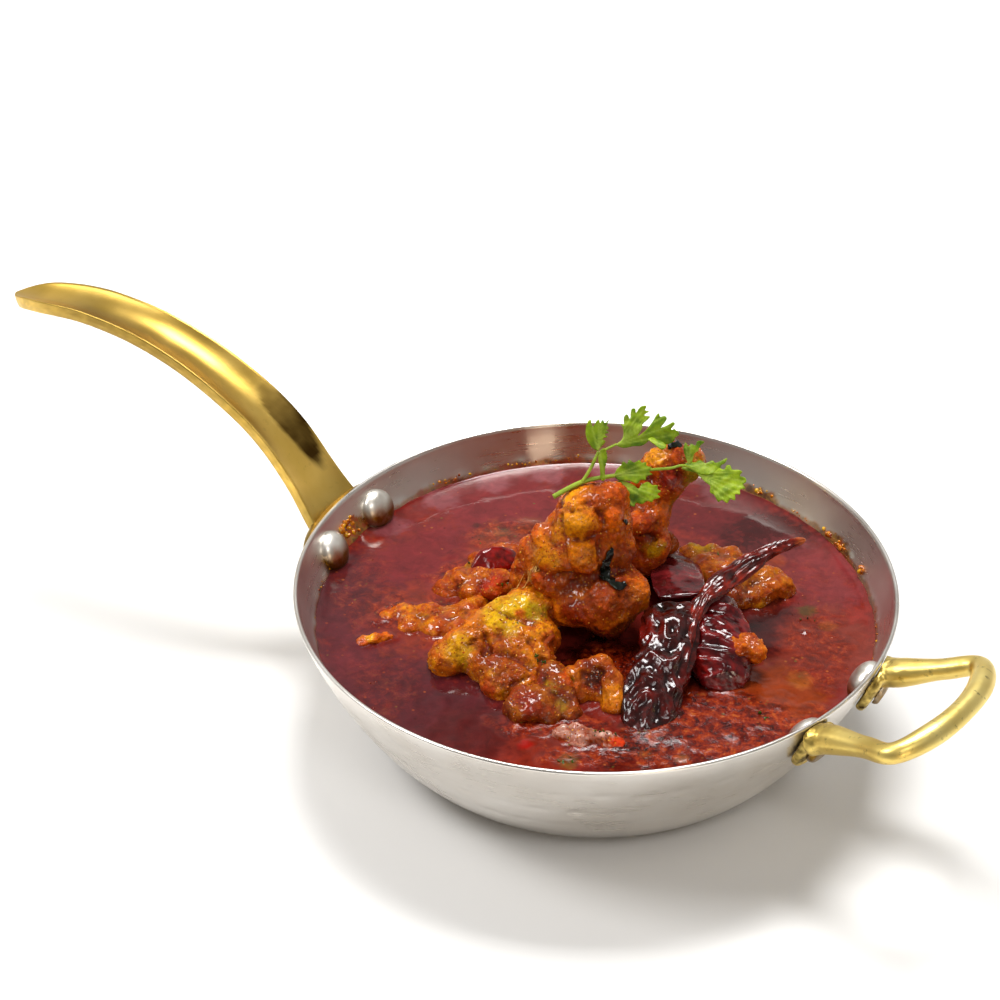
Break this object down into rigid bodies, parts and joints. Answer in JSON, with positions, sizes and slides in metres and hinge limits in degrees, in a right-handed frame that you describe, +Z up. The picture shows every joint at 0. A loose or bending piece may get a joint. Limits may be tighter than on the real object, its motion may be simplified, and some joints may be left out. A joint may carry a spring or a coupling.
{
  "type": "chicken curry in a serving pan",
  "caption": "Chicken curry with thin dark red gravy, dried chillies and a coriander sprig, in a small hammered steel serving pan with a long brass handle and a brass loop handle.",
  "frame": {"origin": "centre of the pan's flat underside, which rests on the table", "axes": "+Z up out of the pan; the long handle runs along -X and the loop handle is on the +X side"},
  "size_m": [0.3343, 0.1798, 0.0999],
  "materials": {
    "hammered_steel": "satin hammered stainless steel",
    "rivet_steel": "polished stainless steel",
    "brass": "cast brass, polished by use",
    "gravy": "wet oily sauce",
    "spiced_chicken": "braised meat in a moist spice crust",
    "masala": "thick moist onion masala",
    "dried_chilli": "wrinkled oily chilli skin",
    "coriander_leaf": "fresh leaf"
  },
  "bodies": {
    "root": {"pan": "hammered_steel", "long_handle": "brass", "loop_handle": "brass", "long_handle_rivet_1": "rivet_steel", "long_handle_rivet_2": "rivet_steel", "loop_handle_rivet_1": "rivet_steel", "loop_handle_rivet_2": "rivet_steel", "gravy": "gravy", "chicken_thigh": "spiced_chicken", "chicken_bone_end": "spiced_chicken", "chicken_wing": "spiced_chicken", "chicken_strips": "spiced_chicken", "chicken_skin": "spiced_chicken", "chicken_back": "spiced_chicken", "masala_left": "masala", "masala_far_left": "masala", "masala_front": "masala", "masala_dab": "masala", "masala_bit": "masala", "chilli_long": "dried_chilli", "chilli_broad": "dried_chilli", "chilli_round": "dried_chilli", "chilli_skin": "dried_chilli", "chilli_scrap": "dried_chilli", "coriander": "coriander_leaf"}
  },
  "joints": []
}
